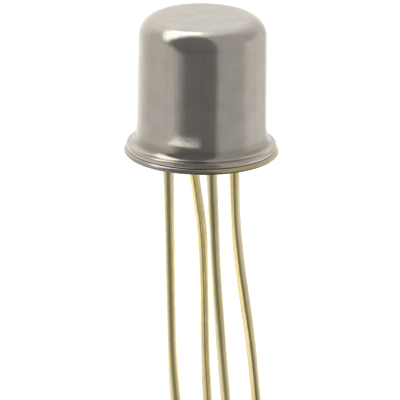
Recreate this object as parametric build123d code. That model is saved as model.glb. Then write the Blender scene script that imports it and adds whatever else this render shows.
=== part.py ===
from build123d import *
from math import cos, radians, sin, tan
import os

# Germanium transistor in a round metal can with four wire leads, in millimetres, +Z up.
# The origin is the centre of the seating plane, which is the underside of the header's
# flange: the can stands above it and the leads hang below it.
# Azimuths are degrees from the front (-Y) towards the right (+X).

# Can, drawn from one sheet
can_diameter = 4.70  # outside, at the crown
can_taper = 0.035  # how much wider the wall's radius is where its flare starts
can_height = 5.20  # seating plane to the top of the crown
can_sheet = 0.20
can_crown_radius = 0.70  # outside
can_flare_rise = 0.50  # top of the flange to where the wall starts to flare out
can_flare_width = 0.04
can_flare_radius = 3.60  # outside, the easy curve into the flare
can_foot_radius = 0.26  # outside, between flare and flange
can_flange_flat = 0.015  # between the foot's rounding and the rim's
can_rim_radius = 0.06  # upper edge of the flange
can_seam_radius = 0.04  # its lower edge

# Header eyelet, drawn from one sheet, open below and pierced on top
header_flange_margin = 0.09  # beyond the can's flange
header_sheet = 0.20
header_height = 1.15  # seating plane to the top of the eyelet
header_bend_radius = 0.30  # outside, round the eyelet's top
header_root_radius = 0.06  # between eyelet and flange
header_rim_radius = 0.13  # upper edge of the flange
header_edge_radius = 0.04  # its lower edge
header_in_can_clearance = 0.06  # on the radius

# Index tab, part of the header's flange
tab_azimuth = 153.0
tab_width = 1.02
tab_length = 0.85  # beyond the flange
tab_corner_radius = 0.12

# Glass
glass_recess = 0.10  # glass surface above the seating plane
glass_hole_diameter = 0.95  # round each insulated lead, in the eyelet's top
glass_wetting = 0.07  # height and width of the glass that climbs each lead

# Leads
lead_diameter = 0.41
lead_circle_diameter = 2.54
lead_length = 13.50  # seating plane to the tips
lead_tip_chamfer = 0.04
lead_bend_share = 0.45  # part of the shorter run beside a bend that its arc takes up
first_pin_azimuth_from_tab = 45.0
pin_step = 90.0
post_height = 0.80  # emitter and base posts above the eyelet's top
collector_post_height = 0.50

# The leads in their order round the circle, anticlockwise from the tab seen from above.
# Each bend is a depth below the seating plane with the wire's drift sideways (+X) and
# backwards (+Y) there, and the last pair is the drift at the tip.
lead_order = ("emitter", "base", "collector", "case")
lead_bends = {
    "emitter": ((0.45, 0, 0), (3.4, 0.45, 0.10), (5.2, 0.56, 0.14), (8.6, 0.65, 0.10)),
    "base": ((0.60, 0, 0), (5.0, 0.13, -0.06), (8.3, 0.25, -0.16)),
    "collector": ((0.60, 0, 0), (4.4, 0.20, -0.12), (7.4, 0.48, -0.20)),
    "case": ((0.70, 0, 0), (2.7, 0.06, 0.05), (4.6, 0.27, 0.14), (8.2, 0.83, 0.26)),
}
tip_drift = {
    "emitter": (1.05, 0.02),
    "base": (0.87, -0.42),
    "collector": (1.09, -0.30),
    "case": (1.31, 0.34),
}
insulated_leads = lead_order[:3]

# Crystal and its mount inside the can
strip_width = 0.70
strip_sheet = 0.10
strip_overhang = 0.12  # beyond the collector post
strip_reach = 0.42  # past the can's axis
strip_corner_radius = 0.10
pellet_side = 0.60
pellet_thickness = 0.12
solder_thickness = 0.03
solder_margin = 0.03
bead_diameter = 0.17
bead_height = 0.08
bead_offset = 0.15  # from the crystal's centre, towards the bead's own post
wire_diameter = 0.05
wire_sink = 0.05  # how far a wire's end is held in its bead
wire_loop_height = 0.22  # above the posts

# Sizes that follow from these
can_radius = can_diameter / 2
can_flare_outer = can_radius + can_taper
can_foot_outer = can_flare_outer + can_flare_width
can_flange_radius = can_foot_outer + can_foot_radius + can_flange_flat + can_rim_radius
can_flange_bottom = header_sheet
eyelet_radius = can_radius - can_sheet - header_in_can_clearance
bore_radius = eyelet_radius - header_sheet
eyelet_flare = header_root_radius + header_sheet
under_eyelet_top = header_height - header_sheet
flange_radius = can_flange_radius + header_flange_margin
lead_radius = lead_diameter / 2
circle_radius = lead_circle_diameter / 2
post_top = header_height + post_height
collector_post_top = header_height + collector_post_height
strip_top = collector_post_top + strip_sheet
solder_top = strip_top + solder_thickness
pellet_top = solder_top + pellet_thickness


def direction(azimuth):
    """Unit vector that points out from the axis at an azimuth."""
    return Vector(sin(radians(azimuth)), -cos(radians(azimuth)), 0)


def turned_solid(corners):
    """Solid of revolution from (radius, height, corner radius) points of its half section."""
    points = [(radius, height) for radius, height, rounding in corners]
    roundings = [rounding for radius, height, rounding in corners]
    outline = FilletPolyline(*points, radius=roundings, close=True)
    return revolve(Plane.XZ * make_face(outline), Axis.Z)


def disc(radius, bottom, top):
    """Upright cylinder on the axis between two heights."""
    return Pos(0, 0, bottom) * Cylinder(radius, top - bottom, align=(Align.CENTER, Align.CENTER, Align.MIN))


def pin_azimuth(name):
    return tab_azimuth + first_pin_azimuth_from_tab + pin_step * lead_order.index(name)


def seat_of(name):
    """Point on the seating plane where a lead's axis crosses it."""
    return direction(pin_azimuth(name)) * circle_radius


def make_can():
    """One sheet all through: crown, slightly tapered wall, flare and turned-out foot flange."""
    flange_top = can_flange_bottom + can_sheet
    flare_height = flange_top + can_flare_rise
    return turned_solid([
        (0, can_height, 0),
        (can_radius, can_height, can_crown_radius),
        (can_flare_outer, flare_height, can_flare_radius),
        (can_foot_outer, flange_top, can_foot_radius),
        (can_flange_radius, flange_top, can_rim_radius),
        (can_flange_radius, can_flange_bottom, can_seam_radius),
        (can_foot_outer - can_sheet, can_flange_bottom, can_foot_radius + can_sheet),
        (can_flare_outer - can_sheet, flare_height, can_flare_radius + can_sheet),
        (can_radius - can_sheet, can_height - can_sheet, can_crown_radius - can_sheet),
        (0, can_height - can_sheet, 0),
    ])


def index_tab():
    """Tongue of the flange, with its two outer corners rounded."""
    reach = flange_radius + tab_length
    tongue = Pos(0, -reach / 2) * Rectangle(tab_width, reach)
    tongue = fillet(tongue.vertices().sort_by(Axis.Y)[:2], tab_corner_radius)
    hub = Circle(bore_radius + eyelet_flare)
    return Rot(0, 0, tab_azimuth) * extrude(tongue - hub, header_sheet)


def make_header_eyelet():
    """Flange, index tab and glass cup in one sheet, with three holes for insulated leads."""
    shell = turned_solid([
        (0, header_height, 0),
        (eyelet_radius, header_height, header_bend_radius),
        (eyelet_radius, header_sheet, header_root_radius),
        (flange_radius, header_sheet, header_rim_radius),
        (flange_radius, 0, header_edge_radius),
        (bore_radius, 0, eyelet_flare),
        (bore_radius, under_eyelet_top, header_bend_radius - header_sheet),
        (0, under_eyelet_top, 0),
    ])
    shell += index_tab()
    for name in insulated_leads:
        shell -= Pos(seat_of(name)) * disc(glass_hole_diameter / 2, 0, header_height)
    return shell


def wetting_ring():
    """Glass that climbs a lead below the glass surface, hollow-cheeked, round the axis."""
    inner = lead_radius / 2
    outer = lead_radius + glass_wetting
    low = glass_recess - glass_wetting
    section = Pos(inner, low) * Rectangle(outer - inner, glass_wetting, align=Align.MIN)
    section -= Pos(outer, low) * Circle(glass_wetting)
    return revolve(Plane.XZ * section, Axis.Z)


def glass_body():
    """Glass that fills the eyelet's bore and follows its flared mouth."""
    bore_height = under_eyelet_top - glass_recess
    bore = Pos(0, glass_recess) * Rectangle(bore_radius, bore_height, align=Align.MIN)
    corner = bore.vertices().sort_by(Axis.X)[-2:].sort_by(Axis.Y)[-1]
    bore = fillet(corner, header_bend_radius - header_sheet)
    mouth = Rectangle(eyelet_flare, eyelet_flare - glass_recess, align=Align.MIN)
    mouth = Pos(bore_radius, glass_recess) * mouth
    mouth -= Pos(bore_radius + eyelet_flare, eyelet_flare) * Circle(eyelet_flare)
    return revolve(Plane.XZ * (bore + mouth), Axis.Z)


def make_glass_seal(leads):
    """Glass cast in the eyelet and up through its holes, with the leads through it."""
    glass = glass_body()
    for name in insulated_leads:
        glass += Pos(seat_of(name)) * disc(glass_hole_diameter / 2, glass_recess, header_height)
    for name in lead_order:
        glass += Pos(seat_of(name)) * wetting_ring()
    for lead in leads.values():
        glass -= lead
    return glass


def bend_radii(points):
    """Largest easy arc at each corner of a wire's route."""
    radii = []
    for before, corner, after in zip(points, points[1:], points[2:]):
        turn = (corner - before).get_angle(after - corner)
        reach = lead_bend_share * min((corner - before).length, (after - corner).length)
        radii.append(reach / tan(radians(turn) / 2))
    return radii


def make_lead(name, top):
    """Straight through the glass, then easy bends down to a cut tip."""
    seat = seat_of(name)
    corners = [seat + Vector(side, back, -depth) for depth, side, back in lead_bends[name]]
    corners.append(seat + Vector(*tip_drift[name], -lead_length))
    radii = bend_radii([seat] + corners)
    start = seat + Vector(0, 0, top)
    path = FilletPolyline(start, *corners, radius=radii)
    lead = sweep(Plane(start, z_dir=(0, 0, -1)) * Circle(lead_radius), path=path)
    return chamfer(lead.edges().filter_by(GeomType.CIRCLE).sort_by(Axis.Z)[0], lead_tip_chamfer)


def in_mount_frame(shape):
    """Turns what was made with the collector post in front to the post's real azimuth."""
    return Rot(0, 0, pin_azimuth("collector")) * shape


def make_collector_tab():
    """Flat strip welded on the end of the collector post, reaching past the axis."""
    front = circle_radius + lead_radius + strip_overhang
    length = front + strip_reach
    strip = RectangleRounded(strip_width, length, strip_corner_radius)
    strip = Pos(0, length / 2 - front, collector_post_top) * strip
    return in_mount_frame(extrude(strip, strip_sheet))


def make_pellet_solder():
    side = pellet_side + 2 * solder_margin
    layer = Pos(0, 0, strip_top) * RectangleRounded(side, side, solder_margin)
    return in_mount_frame(extrude(layer, solder_thickness))


def make_germanium_pellet():
    layer = Pos(0, 0, solder_top) * Rectangle(pellet_side, pellet_side)
    return in_mount_frame(extrude(layer, pellet_thickness))


def bead_centre(name):
    """Point on the crystal's top under a bead."""
    return direction(pin_azimuth(name)) * bead_offset + Vector(0, 0, pellet_top)


def make_wire(name):
    """Fine wire from its bead up over a loop and down on its post's end."""
    bead = bead_centre(name)
    post = seat_of(name)
    loop_top = post_top + wire_loop_height
    start = bead + Vector(0, 0, bead_height - wire_sink)
    rise = Vector(bead.X, bead.Y, loop_top)
    fall = Vector(post.X, post.Y, loop_top)
    end = Vector(post.X, post.Y, post_top)
    radius = lead_bend_share * min((fall - rise).length, (fall - end).length)
    path = FilletPolyline(start, rise, fall, end, radius=radius)
    return sweep(Plane(start, z_dir=(0, 0, 1)) * Circle(wire_diameter / 2), path=path)


def make_bead(name, wire):
    """Low dome of solder alloy with the wire's end set in it."""
    bead_radius = bead_diameter / 2
    ball_radius = (bead_radius**2 + bead_height**2) / (2 * bead_height)
    ball = Pos(0, 0, bead_height - ball_radius) * Sphere(ball_radius)
    dome = ball & disc(2 * bead_radius, 0, 2 * bead_height)
    return Pos(bead_centre(name)) * dome - wire


def main():
    lead_tops = {
        "emitter": post_top,
        "base": post_top,
        "collector": collector_post_top,
        "case": under_eyelet_top,
    }
    leads = {name: make_lead(name, top) for name, top in lead_tops.items()}
    parts = {"can": make_can(), "header_eyelet": make_header_eyelet()}
    parts["glass_seal"] = make_glass_seal(leads)
    for name, lead in leads.items():
        parts[f"{name}_lead"] = lead
    parts["collector_tab"] = make_collector_tab()
    parts["pellet_solder"] = make_pellet_solder()
    parts["germanium_pellet"] = make_germanium_pellet()
    for name in ("emitter", "base"):
        wire = make_wire(name)
        parts[f"{name}_wire"] = wire
        parts[f"{name}_bead"] = make_bead(name, wire)

    os.makedirs("parts", exist_ok=True)
    for name, shape in parts.items():
        export_step(shape, f"parts/{name}.step")


main()
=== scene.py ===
from math import asin, cos, degrees, pi, radians, sin, tan

import bmesh
import bpy
from mathutils import Matrix, Vector


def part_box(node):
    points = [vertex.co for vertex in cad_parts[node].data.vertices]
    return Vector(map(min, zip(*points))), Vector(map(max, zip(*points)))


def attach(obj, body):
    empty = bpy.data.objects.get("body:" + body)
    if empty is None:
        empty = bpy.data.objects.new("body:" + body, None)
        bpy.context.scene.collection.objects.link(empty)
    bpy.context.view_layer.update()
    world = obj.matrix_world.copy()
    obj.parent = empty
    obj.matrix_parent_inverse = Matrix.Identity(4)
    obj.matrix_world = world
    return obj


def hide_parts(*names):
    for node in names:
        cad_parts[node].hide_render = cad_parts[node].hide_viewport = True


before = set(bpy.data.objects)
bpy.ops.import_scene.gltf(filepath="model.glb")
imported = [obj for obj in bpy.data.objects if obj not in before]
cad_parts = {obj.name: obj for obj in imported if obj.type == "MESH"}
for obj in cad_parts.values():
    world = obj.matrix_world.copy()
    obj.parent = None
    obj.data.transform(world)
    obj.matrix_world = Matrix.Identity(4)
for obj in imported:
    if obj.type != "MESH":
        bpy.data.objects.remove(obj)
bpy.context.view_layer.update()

# Germanium transistor in a round metal can with four wire leads.
# Meshes are worked in millimetres and scaled to metres when they are finished.
# Heights are above the seating plane, and azimuths are degrees from the front (-Y) towards
# the right (+X).

MM = 0.001
lead_order = ("emitter", "base", "collector", "case")
insulated_leads = lead_order[:3]


def box_mm(node):
    """Lowest and highest corner of a node in millimetres."""
    low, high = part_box(node)
    return low / MM, high / MM


# Sizes read from the frame
can_low, can_high = box_mm("can")
header_high = box_mm("header_eyelet")[1]
lead_boxes = {name: box_mm(f"{name}_lead") for name in lead_order}
can_top = can_high.z
can_flange_radius = can_high.x
seam_height = can_low.z
header_flange_radius = header_high.x
eyelet_top = header_high.z
highest_tip = max(box[0].z for box in lead_boxes.values())

# Can, with outside radii
can_sheet = 0.20
can_radius = 2.35  # at the crown
can_taper = 0.035  # how much wider the wall is where its flare starts
can_crown_radius = 0.70
can_flare_rise = 0.71  # from the flange to where the wall starts to flare out
can_flare_width = 0.057
can_flare_radius = 3.60
can_foot_radius = 0.26
can_rim_radius = 0.06  # upper edge of the flange
can_seam_radius = 0.04  # its lower edge

# Header
header_sheet = seam_height
header_rim_radius = 0.13  # upper edge of the flange
header_edge_radius = 0.06  # its lower edge
eyelet_radius = 2.09
eyelet_bend_radius = 0.30
eyelet_root_radius = 0.06
bore_radius = eyelet_radius - header_sheet
mouth_flare = eyelet_root_radius + header_sheet
under_eyelet = eyelet_top - header_sheet
piercing = (0.5, 2.0)  # heights between which the eyelet's holes are cut

# Index tab
tab_azimuth = 153.0
tab_width = 1.02
tab_length = 0.85  # beyond the flange
tab_root_gap = 0.1  # between the bore's mouth and the tab's root in the flange
tab_corner_radius = 0.12
tab_edge_radius = 0.03

# Glass
glass_recess = 0.10
glass_hole_radius = 0.475
glass_plug_foot = 0.6  # height in the glass where its plugs start
skirt_size = 0.07  # height and width of the glass that climbs each lead
skirt_root = 0.05  # how far a skirt reaches into the glass
skirt_bore_share = 0.8  # part of the lead's radius, before the lead is cut out
lead_bore = (-1.0, 3.0)  # heights between which the leads are cut out of the glass

# Leads: bends as depth below the seating plane and drift there, then the drift at the tip
lead_radius = 0.205
lead_circle_radius = 1.27
first_pin_from_tab = 45
pin_step = 90
lead_length = 13.50
lead_tip_chamfer = 0.04
lead_tip_zone = 0.06  # height over the tip in which the sheared face lies
lead_bend_share = 0.45  # part of the shorter run beside a bend that its arc takes up
lead_bends = {
    "emitter": ((0.45, 0, 0), (3.4, 0.45, 0.10), (5.2, 0.56, 0.14), (8.6, 0.65, 0.10)),
    "base": ((0.60, 0, 0), (5.0, 0.13, -0.06), (8.3, 0.25, -0.16)),
    "collector": ((0.60, 0, 0), (4.4, 0.20, -0.12), (7.4, 0.48, -0.20)),
    "case": ((0.70, 0, 0), (2.7, 0.06, 0.05), (4.6, 0.27, 0.14), (8.2, 0.83, 0.26)),
}
tip_drift = {
    "emitter": (1.05, 0.02),
    "base": (0.87, -0.42),
    "collector": (1.09, -0.30),
    "case": (1.31, 0.34),
}

# Where the finishes and the painted shade change: heights, and distances out from the header's rim
# The seam band is darkened by tarnish and by painted shade where the can meets the header
seam_shade = 0.06  # height of the can's darker lower edge
# Heights between which painted shade darkens the can's foot, where the wall curves into the flange
foot_shade_starts = (0.40, 0.52)
foot_shade_ends = (0.62, 0.90)
# Painted shade on the lower outer edge of the header's rim: distances out from the rim, then its
# height
rim_shade_starts = (-0.05, -0.01)
rim_shade_ends = (0.01, 0.04)
rim_shade_top = (0.05, 0.11)

# Fineness of the meshes
turn_steps = 192  # sections round the can, header and glass
rod_steps = 64
skirt_steps = 48
cheek_steps = 6
card_steps = 96
wire_steps = 40
bend_step = 1.0  # degrees of a lead's bend from section to section
fewest_bend_steps = 4
arc_segments = 8
tab_edge_segments = 3
tip_segments = 2
longest_run = 0.09  # of a half section before it is divided
merge_distance = 1e-5
weld_distance = 2e-4  # closes the slivers that a cut leaves
level_tolerance = 1e-6

# Camera as fitted to the photograph's 400 by 400 frame
photo_side_px = 400
px_per_mm = 27.12
seat_px = Vector((201.27, 151.8))  # where the middle of the seating plane shows
camera_elevation = radians(18.0)
camera_roll = radians(0.77)
camera_lens = 1000.0
sensor_width = 36.0
near_clip = 0.01
far_clip = 10.0

# Floor
floor_half = 400.0
floor_gap = 0.1  # below the highest tip
floor_tone = 0.80
floor_glow = 0.55

# Levels of the studio that the metal mirrors, where 1 is white
wall_level = 0.44
left_gain = 0.12
right_back_gain = 0.42
left_back_gain = 0.30
right_low_gain = 0.2
left_table_gain = 0.6
left_ceiling_loss = 0.2
room_level = 0.17
room_table_loss = 0.12
softbox_gain = 1.1
skirting_shade = 0.15
under_shade = 0.85

# Ring of card round the leads: its glow is a curve of the way from front to back, 0 to 2
lead_card_radius = 60.0
lead_card_low = -31.0
lead_card_high = -21.0
lead_card_fade = 1.0  # at its upper edge
lead_card_front = 0.26
lead_card_slope = 0.70
lead_card_curve = 0.25
lead_card_tint = 1.4  # how soon its tone is that of the back

# Small level card before the foot: its glow grows to the left
foot_card_inner = 3.0
foot_card_outer = 3.9
foot_card_height = 0.80
foot_card_first = -45
foot_card_last = 5
foot_card_fade = 0.3  # at its inner and outer edge
foot_card_starts = (-2.25, -1.80)
foot_card_ends = (-0.3, 0.15)
foot_card_middle = 0.45
foot_card_slope = -0.6


class Signal:
    """A socket's value in shader maths: an expression on signals adds its Math nodes."""

    def __init__(self, shader, socket):
        self.shader = shader
        self.socket = socket

    def math(self, operation, first, second=0.0):
        return self.shader.node("ShaderNodeMath", {"operation": operation}, {0: first, 1: second})

    def __add__(self, other):
        return self.math("ADD", self, other)

    def __sub__(self, other):
        return self.math("SUBTRACT", self, other)

    def __rsub__(self, other):
        return self.math("SUBTRACT", other, self)

    def __mul__(self, other):
        return self.math("MULTIPLY", self, other)

    __radd__ = __add__
    __rmul__ = __mul__

    def rising(self, low, high):
        """0 below low, 1 above high and a smooth step between them."""
        settings = {"interpolation_type": "SMOOTHSTEP"}
        inputs = {"Value": self, "From Min": low, "From Max": high}
        return self.shader.node("ShaderNodeMapRange", settings, inputs)

    def between(self, low, high):
        """Where noise from 0 to 1 lands when it is spread over a range."""
        return self * (high - low) + low


class Shader:
    """Node tree of one material, or of the world."""

    def __init__(self, owner):
        owner.use_nodes = True
        self.tree = owner.node_tree
        self.tree.nodes.clear()

    def node(self, kind, settings=None, inputs=None, output=0):
        node = self.tree.nodes.new(kind)
        for key, value in (settings or {}).items():
            setattr(node, key, value)
        for key, value in (inputs or {}).items():
            if isinstance(value, Signal):
                self.tree.links.new(value.socket, node.inputs[key])
            else:
                node.inputs[key].default_value = value
        return Signal(self, node.outputs[output])

    def place(self, scale=(1, 1, 1)):
        """Object coordinates in millimetres, stretched by a scale."""
        point = self.node("ShaderNodeTexCoord", output="Object")
        size = [s / MM for s in scale]
        return self.node("ShaderNodeMapping", inputs={"Vector": point, "Scale": size})

    def along(self, axis, vector=None):
        """Part of a vector, or else of the place in millimetres, along one axis."""
        inputs = {0: vector or self.place()}
        return self.node("ShaderNodeSeparateXYZ", inputs=inputs, output=axis)

    def outwards(self):
        """Distance from the can's axis in millimetres."""
        settings = {"operation": "LENGTH"}
        return self.node("ShaderNodeVectorMath", settings, {0: self.place((1, 1, 0))}, "Value")

    def noise(self, scale=(1, 1, 1), detail=3.0, roughness=0.5):
        """Noise from 0 to 1 with a scale in features per millimetre."""
        inputs = {"Vector": self.place(scale), "Scale": 1.0, "Detail": detail,
                  "Roughness": roughness}
        return self.node("ShaderNodeTexNoise", inputs=inputs)

    def mix(self, factor, first, second):
        """Colour between two colours."""
        inputs = {0: factor, 6: first, 7: second}
        return self.node("ShaderNodeMix", {"data_type": "RGBA"}, inputs, output=2)

    def bump(self, height, distance):
        """Relief of a height in millimetres."""
        return self.node("ShaderNodeBump", inputs={"Height": height, "Distance": distance * MM,
                                                   "Strength": 1.0})

    def straight(self):
        """1 on rays that come straight from the camera or through glass."""
        return (self.node("ShaderNodeLightPath", output="Is Camera Ray")
                + self.node("ShaderNodeLightPath", output="Is Transmission Ray"))

    def mirrored(self):
        """1 on rays that metal or a gloss sends out."""
        return self.node("ShaderNodeLightPath", output="Is Glossy Ray")

    def glow(self, tone, strength):
        return self.node("ShaderNodeEmission", inputs={"Color": tone, "Strength": strength})

    def clear(self):
        return self.node("ShaderNodeBsdfTransparent")

    def either(self, factor, first, second):
        """Shader between two shaders."""
        return self.node("ShaderNodeMixShader", inputs={0: factor, 1: first, 2: second})

    def surface(self, **inputs):
        """Principled surface, with underscores in the names for spaces."""
        named = {key.replace("_", " "): value for key, value in inputs.items()}
        self.finish(self.node("ShaderNodeBsdfPrincipled", inputs=named))

    def finish(self, surface, kind="ShaderNodeOutputMaterial"):
        output = self.tree.nodes.new(kind)
        self.tree.links.new(surface.socket, output.inputs["Surface"])


def rgb(red, green, blue):
    return (red, green, blue, 1.0)


white = rgb(1, 1, 1)


def new_material(name):
    material = bpy.data.materials.new(name)
    return material, Shader(material)


def can_nickel():
    """Satin nickel plate on a drawn can.

    It has upright draw lines, faint mottling, painted shade in the curve of the foot
    and a seam darkened by tarnish and painted shade.
    """
    dull, bright = rgb(0.64, 0.59, 0.51), rgb(0.70, 0.65, 0.57)
    drawn, foot_shade_tone, seam_shade_tone = rgb(0.55, 0.50, 0.43), rgb(0.36, 0.33, 0.28), rgb(0.30, 0.26, 0.21)
    material, shader = new_material("can_nickel")
    lines = shader.noise((9, 9, 0.12), detail=4.0)
    hairs = shader.noise((45, 45, 0.5), detail=2.0)
    mottle = shader.noise((1.6, 1.6, 1.6), detail=4.0, roughness=0.6)
    height = shader.along("Z")
    # Tarnish and painted shade along the can's lower edge, where it sits on the header
    seam = 1 - height.rising(seam_height, seam_height + seam_shade)
    # Painted shade in the curve of the foot, made patchy by the mottling
    foot = height.rising(*foot_shade_starts) * (1 - height.rising(*foot_shade_ends))
    tone = shader.mix(mottle.rising(0.3, 0.7), dull, bright)
    tone = shader.mix(lines.rising(0.45, 0.8) * 0.35, tone, drawn)
    tone = shader.mix(foot * mottle.between(0.3, 0.7), tone, foot_shade_tone)
    tone = shader.mix(seam * 0.35, tone, seam_shade_tone)
    rough = lines.between(0.10, 0.20) + hairs.between(-0.02, 0.03) + seam * 0.15
    relief = lines * 0.5 + hairs * 0.2 + mottle
    shader.surface(Base_Color=tone, Metallic=1.0, Roughness=rough,
                   Normal=shader.bump(relief, 0.005))
    return material


def header_flash():
    """Thin gold flash over nickel on the header.

    It is paler where it is worn, and yellower to the right, where light from that side is painted
    in.
    Painted shade darkens the lower edge of its rim.
    """
    worn, gold = rgb(0.60, 0.56, 0.47), rgb(0.72, 0.62, 0.36)
    marked, rim_shade_tone = rgb(0.42, 0.37, 0.25), rgb(0.20, 0.17, 0.13)
    material, shader = new_material("header_gold_flash")
    marks = shader.noise((9, 9, 3), detail=4.0)
    stain = shader.noise((1.3, 1.3, 1.3), detail=4.0, roughness=0.6)
    edge = shader.outwards() - header_flange_radius
    # Painted shade on the lower outer edge of the rim, made patchy by the stain
    cut = edge.rising(*rim_shade_starts) * (1 - edge.rising(*rim_shade_ends))
    cut = cut * (1 - shader.along("Z").rising(*rim_shade_top))
    # Random wear, plus painted light: the flash turns yellower towards the right, where light
    # falls
    gold_wear_and_side_light = (stain * 1.4 - 0.7 + shader.along("X") * 0.3).rising(-0.4, 0.5)
    tone = shader.mix(gold_wear_and_side_light, worn, gold)
    tone = shader.mix(marks.rising(0.55, 0.8) * 0.5, tone, marked)
    tone = shader.mix(cut * stain.between(0.5, 0.9), tone, rim_shade_tone)
    relief = marks * 0.7 + stain * 0.6
    shader.surface(Base_Color=tone, Metallic=1.0, Roughness=marks.between(0.14, 0.28),
                   Normal=shader.bump(relief, 0.004))
    return material


def lead_gold():
    """Satin gold on drawn wire, with fine lengthwise marks and slightly browner patches."""
    fresh, browned = rgb(0.92, 0.79, 0.46), rgb(0.82, 0.70, 0.38)
    marked = rgb(0.62, 0.50, 0.24)
    material, shader = new_material("lead_gold")
    marks = shader.noise((14, 14, 0.8), detail=4.0)
    stain = shader.noise((1.6, 1.6, 0.9), detail=4.0, roughness=0.6)
    tone = shader.mix(stain.rising(0.35, 0.75), fresh, browned)
    tone = shader.mix(marks.rising(0.55, 0.8) * 0.4, tone, marked)
    relief = marks * 0.7 + stain * 0.6
    shader.surface(Base_Color=tone, Metallic=1.0, Roughness=marks.between(0.12, 0.26),
                   Normal=shader.bump(relief, 0.004))
    return material


def sheared_metal():
    """Bare grey core of the wire where it is cut."""
    material, shader = new_material("sheared_wire_end")
    drag = shader.noise((25, 6, 6))
    tone = shader.mix(drag, rgb(0.42, 0.41, 0.39), rgb(0.56, 0.54, 0.51))
    shader.surface(Base_Color=tone, Metallic=1.0, Roughness=drag.between(0.3, 0.5),
                   Normal=shader.bump(drag, 0.006))
    return material


def seal_glass():
    """Dark fused glass with small bubbles and a faint green tone."""
    deep, cloudy = rgb(0.018, 0.028, 0.025), rgb(0.045, 0.062, 0.052)
    bubble = rgb(0.20, 0.24, 0.22)
    material, shader = new_material("seal_glass")
    cloud = shader.noise((1.5, 1.5, 1.5), detail=4.0)
    inputs = {"Vector": shader.place((7, 7, 7)), "Scale": 1.0}
    bubbles = 1 - shader.node("ShaderNodeTexVoronoi", inputs=inputs).rising(0.05, 0.16)
    tone = shader.mix(cloud, deep, cloudy)
    tone = shader.mix(bubbles * 0.7, tone, bubble)
    shader.surface(Base_Color=tone, Roughness=cloud.between(0.05, 0.14), Coat_Weight=0.3,
                   Normal=shader.bump(cloud - bubbles * 0.3, 0.01))
    return material


def small_metal(name, light, dark, rough):
    """Finish of a small part inside the can, between two tones."""
    material, shader = new_material(name)
    grain = shader.noise((10, 10, 10), detail=4.0)
    tone = shader.mix(grain, rgb(*dark), rgb(*light))
    shader.surface(Base_Color=tone, Metallic=1.0, Roughness=grain.between(rough, rough + 0.12),
                   Normal=shader.bump(grain, 0.003))
    return material


def direction(azimuth):
    """Unit vector that points out from the axis at an azimuth."""
    return Vector((sin(radians(azimuth)), -cos(radians(azimuth)), 0))


def seat_of(name):
    """Point on the seating plane where a lead's axis crosses it."""
    azimuth = tab_azimuth + first_pin_from_tab + pin_step * lead_order.index(name)
    return direction(azimuth) * lead_circle_radius


def upright(height):
    return Vector((0, 0, height))


def put_in_scene(name, bm):
    """Object that takes over a finished mesh."""
    mesh = bpy.data.meshes.new(name)
    bm.to_mesh(mesh)
    bm.free()
    thing = bpy.data.objects.new(name, mesh)
    bpy.context.scene.collection.objects.link(thing)
    return thing


def to_metres(bm):
    bmesh.ops.scale(bm, vec=(MM, MM, MM), verts=bm.verts)


def add_piece(name, bm, materials, nodes):
    """Finished mesh in metres that stands for CAD nodes."""
    to_metres(bm)
    piece = put_in_scene(name, bm)
    for material in materials:
        piece.data.materials.append(material)
    for polygon in piece.data.polygons:
        polygon.use_smooth = True
    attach(piece, "root")
    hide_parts(*nodes)


def only(kind, geometry):
    """The parts of one kind in what an operator gives back."""
    return [part for part in geometry if isinstance(part, kind)]


def eased(bm, parts, size, segments, affect="EDGES"):
    """Rounds edges, or corners of a flat outline."""
    bmesh.ops.bevel(bm, geom=parts, offset=size, segments=segments, profile=0.5,
                    affect=affect, material=-1)


def spun(bm, steps, sweep=360):
    """Turns a profile round the axis by a sweep in degrees."""
    bmesh.ops.spin(bm, geom=bm.verts[:] + bm.edges[:], cent=(0, 0, 0), axis=(0, 0, 1),
                   dvec=(0, 0, 0), angle=radians(sweep), steps=steps, use_merge=sweep == 360)


def closed(bm):
    """Merges the doubles of a spun shell and turns its faces outwards."""
    bmesh.ops.remove_doubles(bm, verts=bm.verts, dist=merge_distance)
    bmesh.ops.recalc_face_normals(bm, faces=bm.faces)


def turned(corners):
    """Turned or drawn form from (radius, height, corner radius) points of its half section."""
    bm = bmesh.new()
    points = [Vector((radius, 0, height)) for radius, height, rounding in corners]
    outline = [bm.verts.new(point) for point in points]
    bm.faces.new(outline)
    for i, (radius, height, rounding) in enumerate(corners):
        if rounding:
            turn = (points[i] - points[i - 1]).angle(points[i + 1] - points[i])
            eased(bm, [outline[i]], rounding * tan(turn / 2), arc_segments, "VERTICES")
    bmesh.ops.delete(bm, geom=bm.faces[:], context="FACES_ONLY")
    on_axis = [e for e in bm.edges if max(v.co.x for v in e.verts) < level_tolerance]
    bmesh.ops.delete(bm, geom=on_axis, context="EDGES")
    for edge in bm.edges[:]:
        cuts = int(edge.calc_length() / longest_run)
        if cuts:
            bmesh.ops.subdivide_edges(bm, edges=[edge], cuts=cuts)
    spun(bm, turn_steps)
    closed(bm)
    return bm


def combined(bm, tools, operation):
    """The mesh joined with, or cut by, each tool mesh in turn."""
    body = put_in_scene("temporary", bm)
    cutters = [put_in_scene("temporary", tool) for tool in tools]
    for cutter in cutters:
        modifier = body.modifiers.new("join", "BOOLEAN")
        modifier.operation = operation
        modifier.solver = "EXACT"
        modifier.object = cutter
    evaluated = body.evaluated_get(bpy.context.evaluated_depsgraph_get())
    result = bmesh.new()
    result.from_mesh(evaluated.to_mesh())
    evaluated.to_mesh_clear()
    bmesh.ops.remove_doubles(result, verts=result.verts, dist=weld_distance)
    bmesh.ops.dissolve_degenerate(result, dist=weld_distance, edges=result.edges)
    for thing in [body] + cutters:
        mesh = thing.data
        bpy.data.objects.remove(thing)
        bpy.data.meshes.remove(mesh)
    return result


def rod(centre, radius, bottom, top):
    """Upright round bar, closed at both ends."""
    bm = bmesh.new()
    middle = Matrix.Translation(centre + upright((bottom + top) / 2))
    bmesh.ops.create_cone(bm, cap_ends=True, segments=rod_steps, radius1=radius, radius2=radius,
                          depth=top - bottom, matrix=middle)
    return bm


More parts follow.
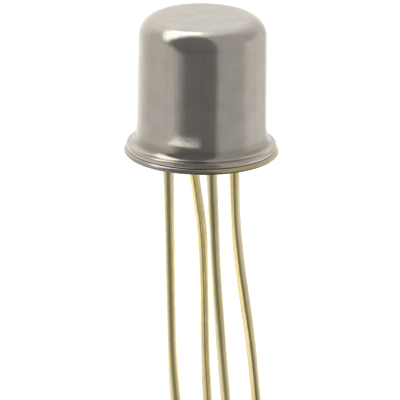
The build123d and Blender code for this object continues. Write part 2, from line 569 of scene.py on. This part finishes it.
def make_can(material):
    """Drawn can with its crown, slightly tapered wall and turned-out foot flange."""
    flange_top = seam_height + can_sheet
    flare_height = flange_top + can_flare_rise
    flare = can_radius + can_taper
    foot = flare + can_flare_width
    bm = turned([
        (0, can_top, 0),
        (can_radius, can_top, can_crown_radius),
        (flare, flare_height, can_flare_radius),
        (foot, flange_top, can_foot_radius),
        (can_flange_radius, flange_top, can_rim_radius),
        (can_flange_radius, seam_height, can_seam_radius),
        (foot - can_sheet, seam_height, can_foot_radius + can_sheet),
        (flare - can_sheet, flare_height, can_flare_radius + can_sheet),
        (can_radius - can_sheet, can_top - can_sheet, can_crown_radius - can_sheet),
        (0, can_top - can_sheet, 0),
    ])
    add_piece("drawn_can", bm, [material], ["can"])


def tab_mesh():
    """Tongue of the header's flange, with rounded corners and softened edges."""
    half = tab_width / 2
    inner = bore_radius + mouth_flare + tab_root_gap
    outer = header_flange_radius + tab_length
    bm = bmesh.new()
    outline = ((-half, -inner, 0), (-half, -outer, 0), (half, -outer, 0), (half, -inner, 0))
    corners = [bm.verts.new(point) for point in outline]
    bm.faces.new(corners)
    eased(bm, corners[1:3], tab_corner_radius, arc_segments, "VERTICES")
    raised = bmesh.ops.extrude_face_region(bm, geom=bm.faces[:])["geom"]
    bmesh.ops.translate(bm, vec=upright(header_sheet), verts=only(bmesh.types.BMVert, raised))
    level = [e for e in bm.edges if abs(e.verts[0].co.z - e.verts[1].co.z) < level_tolerance]
    eased(bm, level, tab_edge_radius, tab_edge_segments)
    bmesh.ops.recalc_face_normals(bm, faces=bm.faces)
    bmesh.ops.rotate(bm, cent=(0, 0, 0), matrix=Matrix.Rotation(radians(tab_azimuth), 3, "Z"),
                     verts=bm.verts)
    return bm


def make_header(material):
    """Drawn eyelet with its flange and index tab, pierced for three leads."""
    bm = turned([
        (0, eyelet_top, 0),
        (eyelet_radius, eyelet_top, eyelet_bend_radius),
        (eyelet_radius, header_sheet, eyelet_root_radius),
        (header_flange_radius, header_sheet, header_rim_radius),
        (header_flange_radius, 0, header_edge_radius),
        (bore_radius, 0, mouth_flare),
        (bore_radius, under_eyelet, eyelet_bend_radius - header_sheet),
        (0, under_eyelet, 0),
    ])
    bm = combined(bm, [tab_mesh()], "UNION")
    holes = [rod(seat_of(name), glass_hole_radius, *piercing) for name in insulated_leads]
    bm = combined(bm, holes, "DIFFERENCE")
    add_piece("header_shell", bm, [material], ["header_eyelet"])


def skirt_mesh(name):
    """Skirt of glass that climbs a lead, with a hollow cheek."""
    inner = lead_radius * skirt_bore_share
    outer = lead_radius + skirt_size
    low = glass_recess - skirt_size
    high = glass_recess + skirt_root
    profile = [Vector((inner, 0, high)), Vector((inner, 0, low))]
    for step in range(cheek_steps + 1):
        angle = pi / 2 * step / cheek_steps
        profile.append(Vector((outer, 0, low)) + Vector((-cos(angle), 0, sin(angle))) * skirt_size)
    profile.append(Vector((outer, 0, high)))
    bm = bmesh.new()
    points = [bm.verts.new(point) for point in profile]
    for first, second in zip(points, points[1:] + points[:1]):
        bm.edges.new((first, second))
    spun(bm, skirt_steps)
    closed(bm)
    bmesh.ops.translate(bm, vec=seat_of(name), verts=bm.verts)
    return bm


def make_glass(material):
    """Glass in the eyelet with a plug round each insulated lead and a skirt up every lead."""
    mouth = bore_radius + mouth_flare * (1 - cos(asin(1 - glass_recess / mouth_flare)))
    bm = turned([
        (0, under_eyelet, 0),
        (bore_radius, under_eyelet, eyelet_bend_radius - header_sheet),
        (bore_radius, mouth_flare, 0),
        (mouth, glass_recess, 0),
        (0, glass_recess, 0),
    ])
    plugs = [rod(seat_of(name), glass_hole_radius, glass_plug_foot, eyelet_top)
             for name in insulated_leads]
    bm = combined(bm, plugs + [skirt_mesh(name) for name in lead_order], "UNION")
    wires = [rod(seat_of(name), lead_radius, *lead_bore) for name in lead_order]
    bm = combined(bm, wires, "DIFFERENCE")
    add_piece("glass_fill", bm, [material], ["glass_seal"])


def drawn_on(bm, edges, run):
    """Extends an open ring of edges along a straight run and gives its new end."""
    made = bmesh.ops.extrude_edge_only(bm, edges=edges)["geom"]
    ends = only(bmesh.types.BMVert, made)
    bmesh.ops.translate(bm, vec=run, verts=ends)
    return [e for e in only(bmesh.types.BMEdge, made) if all(v in ends for v in e.verts)]


def make_lead(name, materials):
    """Drawn wire: straight through the glass, easy bends, then a chamfered cut tip."""
    seat = seat_of(name)
    here = seat + upright(lead_boxes[name][1].z)
    corners = [seat + Vector((side, back, -depth)) for depth, side, back in lead_bends[name]]
    corners.append(seat + Vector((*tip_drift[name], -lead_length)))
    bm = bmesh.new()
    bmesh.ops.create_circle(bm, cap_ends=True, segments=wire_steps, radius=lead_radius,
                            matrix=Matrix.Translation(here))
    edges = bm.edges[:]
    before = seat
    for corner, after in zip(corners, corners[1:]):
        inward = (corner - before).normalized()
        onward = (after - corner).normalized()
        turn = inward.angle(onward)
        reach = lead_bend_share * min((corner - before).length, (after - corner).length)
        start = corner - inward * reach
        edges = drawn_on(bm, edges, start - here)
        axis = inward.cross(onward).normalized()
        centre = start + axis.cross(inward) * (reach / tan(turn / 2))
        steps = max(fewest_bend_steps, int(turn / radians(bend_step)))
        bent = bmesh.ops.spin(bm, geom=edges, cent=centre, axis=axis, dvec=(0, 0, 0), angle=turn,
                              steps=steps, use_merge=False)["geom_last"]
        edges = only(bmesh.types.BMEdge, bent)
        here = corner + onward * reach
        before = corner
    edges = drawn_on(bm, edges, corners[-1] - here)
    bmesh.ops.holes_fill(bm, edges=edges, sides=0)
    eased(bm, edges, lead_tip_chamfer, tip_segments)
    bmesh.ops.recalc_face_normals(bm, faces=bm.faces)
    for face in bm.faces:
        if face.calc_center_median().z < lead_tip_zone - lead_length and len(face.verts) > 4:
            face.material_index = 1
    add_piece(f"{name}_wire_lead", bm, materials, [f"{name}_lead"])


def dress_inner_nodes():
    """Finishes of the pieces that the can hides."""
    strip = small_metal("rolled_nickel", (0.66, 0.62, 0.56), (0.52, 0.49, 0.44), 0.22)
    solder = small_metal("indium_solder", (0.72, 0.72, 0.73), (0.50, 0.50, 0.52), 0.30)
    crystal = small_metal("etched_germanium", (0.30, 0.31, 0.33), (0.16, 0.17, 0.19), 0.12)
    wire = small_metal("bond_gold", (0.95, 0.78, 0.38), (0.80, 0.62, 0.28), 0.18)
    dressed = {
        "collector_tab": strip,
        "pellet_solder": solder,
        "germanium_pellet": crystal,
        "emitter_bead": solder,
        "base_bead": solder,
        "emitter_wire": wire,
        "base_wire": wire,
    }
    for node, material in dressed.items():
        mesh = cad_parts[node].data
        mesh.materials.clear()
        mesh.materials.append(material)


def make_world():
    """Studio round the can: white to the camera, and to the metal a dark room with lit sides.

    Turn is the azimuth and rise the elevation of what a surface mirrors, both in degrees.
    """
    world = bpy.data.worlds.new("studio")
    bpy.context.scene.world = world
    shader = Shader(world)
    ray = shader.node("ShaderNodeTexCoord", output="Generated")
    x, y, z = (shader.along(axis, ray) for axis in "XYZ")
    turn = shader.node("ShaderNodeMath", {"operation": "ARCTAN2"}, {0: x, 1: y * -1}) * degrees(1)
    rise = shader.node("ShaderNodeMath", {"operation": "ARCSINE"}, {0: z}) * degrees(1)

    # Plain walls, lighter at the sides and behind
    left = 1 - turn.rising(-30, 0)
    right_back = turn.rising(100, 190)
    left_back = 1 - turn.rising(-150, -105)
    right_low = turn.rising(72, 95) * (1 - turn.rising(120, 150)) * (1 - rise.rising(5, 25))
    level = wall_level + left * left_gain + right_back * right_back_gain
    level = level + left_back * left_back_gain + right_low * right_low_gain
    level = level - left * rise.rising(70, 88) * left_ceiling_loss

    # Pale table below, brightest on the left
    table = 1 - rise.rising(-28, -20)
    level = level + table * (left * turn.rising(-150, -110)) * left_table_gain

    # Dark room in front, whose left side leans away with height, and a softbox over it
    left_limit = -14 - rise.rising(-27, -19) * 26 - rise.rising(-25, 45) * 38
    room = (turn - left_limit).rising(-13, 13) * (1 - turn.rising(22, 33))
    softbox = (z + x * 0.70 - y * 0.99).rising(-0.02, 0.10)
    softbox = softbox * (1 - (z + x * 2.4 - y * 2.7).rising(-0.25, 0.20))
    softbox = softbox * (1 - turn.rising(-82, -66)) * (1 - x.rising(-0.04, 0.12))
    level = level - (level - room_level + table * room_table_loss) * room + softbox * softbox_gain

    # Faint skirting line, and the dark straight under the can
    skirting = rise.rising(-11, -8) * (1 - rise.rising(-4, 2))
    skirting = skirting * turn.rising(-55, -35) * (1 - turn.rising(20, 40))
    under = 1 - rise.rising(-55, -34)
    level = level * (1 - skirting * skirting_shade) * (1 - under * under_shade)

    # White backdrop: what the camera sees, and what metal mirrors low behind the can
    backdrop = (1 - turn.rising(-158, -135) + turn.rising(150, 172)) * (1 - rise.rising(2, 12))
    seen = shader.straight() + shader.mirrored() * backdrop
    tone = shader.mix(room, white, rgb(0.97, 1.0, 1.05))
    lit = shader.node("ShaderNodeBackground", inputs={"Color": tone, "Strength": level})
    plain = shader.node("ShaderNodeBackground", inputs={"Color": white, "Strength": 1.0})
    shader.finish(shader.either(seen, lit, plain), "ShaderNodeOutputWorld")


def make_floor():
    """Pale floor under the lead tips, open when it is looked at from below."""
    bm = bmesh.new()
    place = Matrix.Translation(upright(highest_tip - floor_gap))
    bmesh.ops.create_grid(bm, x_segments=1, y_segments=1, size=floor_half, matrix=place)
    to_metres(bm)
    floor = put_in_scene("floor", bm)
    material, shader = new_material("pale_floor")
    floor.data.materials.append(material)
    tone = rgb(floor_tone, floor_tone, floor_tone)
    matt = shader.node("ShaderNodeBsdfDiffuse", inputs={"Color": tone})
    glow = shader.glow(white, (shader.straight() + shader.mirrored()) * floor_glow)
    lit = shader.node("ShaderNodeAddShader", inputs={0: matt, 1: glow})
    below = shader.node("ShaderNodeNewGeometry", output="Backfacing")
    shader.finish(shader.either(below, lit, shader.clear()))
    floor.visible_glossy = False


def make_card(name, edge, first, last):
    """Card from an edge of (radius, height) points, turned from one azimuth to another.

    It shows only in reflections. Gives its shader.
    """
    bm = bmesh.new()
    ends = [direction(first) * radius + upright(height) for radius, height in edge]
    bm.edges.new([bm.verts.new(end) for end in ends])
    spun(bm, card_steps, last - first)
    to_metres(bm)
    card = put_in_scene(name, bm)
    card.visible_camera = False
    card.visible_diffuse = False
    card.visible_shadow = False
    material, shader = new_material(name)
    card.data.materials.append(material)
    return shader


def make_lead_card():
    """Low ring of card, dim in front and white behind, that only the leads and foot mirror."""
    low, high = lead_card_low, lead_card_high
    edge = ((lead_card_radius, low), (lead_card_radius, high))
    shader = make_card("lead_card", edge, 0, 360)
    backwards = shader.along("Y") * (1 / lead_card_radius) + 1
    tone = shader.mix(backwards * lead_card_tint, rgb(1, 0.95, 0.70), rgb(0.98, 1.06, 1.35))
    strength = backwards * backwards * lead_card_curve
    strength = strength + backwards * lead_card_slope + lead_card_front
    cover = 1 - shader.along("Z").rising(high - lead_card_fade, high)
    shader.finish(shader.either(cover, shader.clear(), shader.glow(tone, strength)))


def make_foot_card():
    """Small level card close before the foot on its left, lit on top, that the flare mirrors."""
    inner, outer = foot_card_inner, foot_card_outer
    edge = ((inner, foot_card_height), (outer, foot_card_height))
    shader = make_card("foot_card", edge, foot_card_first, foot_card_last)
    x = shader.along("X")
    outwards = shader.outwards()
    below = shader.node("ShaderNodeNewGeometry", output="Backfacing")
    cover = x.rising(*foot_card_starts) * (1 - x.rising(*foot_card_ends)) * (1 - below)
    cover = cover * outwards.rising(inner, inner + foot_card_fade)
    cover = cover * (1 - outwards.rising(outer - foot_card_fade, outer))
    glow = shader.glow(white, x * foot_card_slope + foot_card_middle)
    shader.finish(shader.either(cover, shader.clear(), glow))


def make_lamp(name, towards, distance, size, power):
    """Soft square lamp that looks at the can from a direction and isn't mirrored."""
    data = bpy.data.lights.new(name, "AREA")
    data.shape = "SQUARE"
    data.size = size * MM
    data.energy = power
    lamp = bpy.data.objects.new(name, data)
    aim = Vector(towards).normalized()
    lamp.location = (aim * distance + upright(can_top / 2)) * MM
    lamp.visible_glossy = False
    lamp.rotation_mode = "QUATERNION"
    lamp.rotation_quaternion = aim.to_track_quat("Z", "Y")
    bpy.context.scene.collection.objects.link(lamp)


def make_camera():
    """Long lens at the photograph's elevation, roll and framing."""
    data = bpy.data.cameras.new("camera")
    data.lens = camera_lens
    data.sensor_width = sensor_width
    data.clip_start = near_clip
    data.clip_end = far_clip
    camera = bpy.data.objects.new("camera", data)
    bpy.context.scene.collection.objects.link(camera)
    bpy.context.scene.camera = camera
    view_side = photo_side_px / px_per_mm
    distance = view_side * camera_lens / sensor_width
    right = Vector((1, 0, 0))
    up = Vector((0, sin(camera_elevation), cos(camera_elevation)))
    back = right.cross(up)
    tilted_right = right * cos(camera_roll) + up * sin(camera_roll)
    tilted_up = up * cos(camera_roll) - right * sin(camera_roll)
    offset = (Vector((photo_side_px / 2, photo_side_px / 2)) - seat_px) / px_per_mm
    target = tilted_right * offset.x - tilted_up * offset.y
    place = Matrix((tilted_right, tilted_up, back)).transposed().to_4x4()
    place.translation = (target + back * distance) * MM
    camera.matrix_world = place


def main():
    bpy.context.scene.view_settings.view_transform = "Standard"
    make_camera()
    make_world()
    make_floor()
    make_lead_card()
    make_foot_card()
    make_lamp("key_lamp", towards=(-0.38, 0.45, 0.80), distance=60, size=22, power=0.010)
    make_can(can_nickel())
    make_header(header_flash())
    make_glass(seal_glass())
    lead_materials = [lead_gold(), sheared_metal()]
    for name in lead_order:
        make_lead(name, lead_materials)
    dress_inner_nodes()


main()
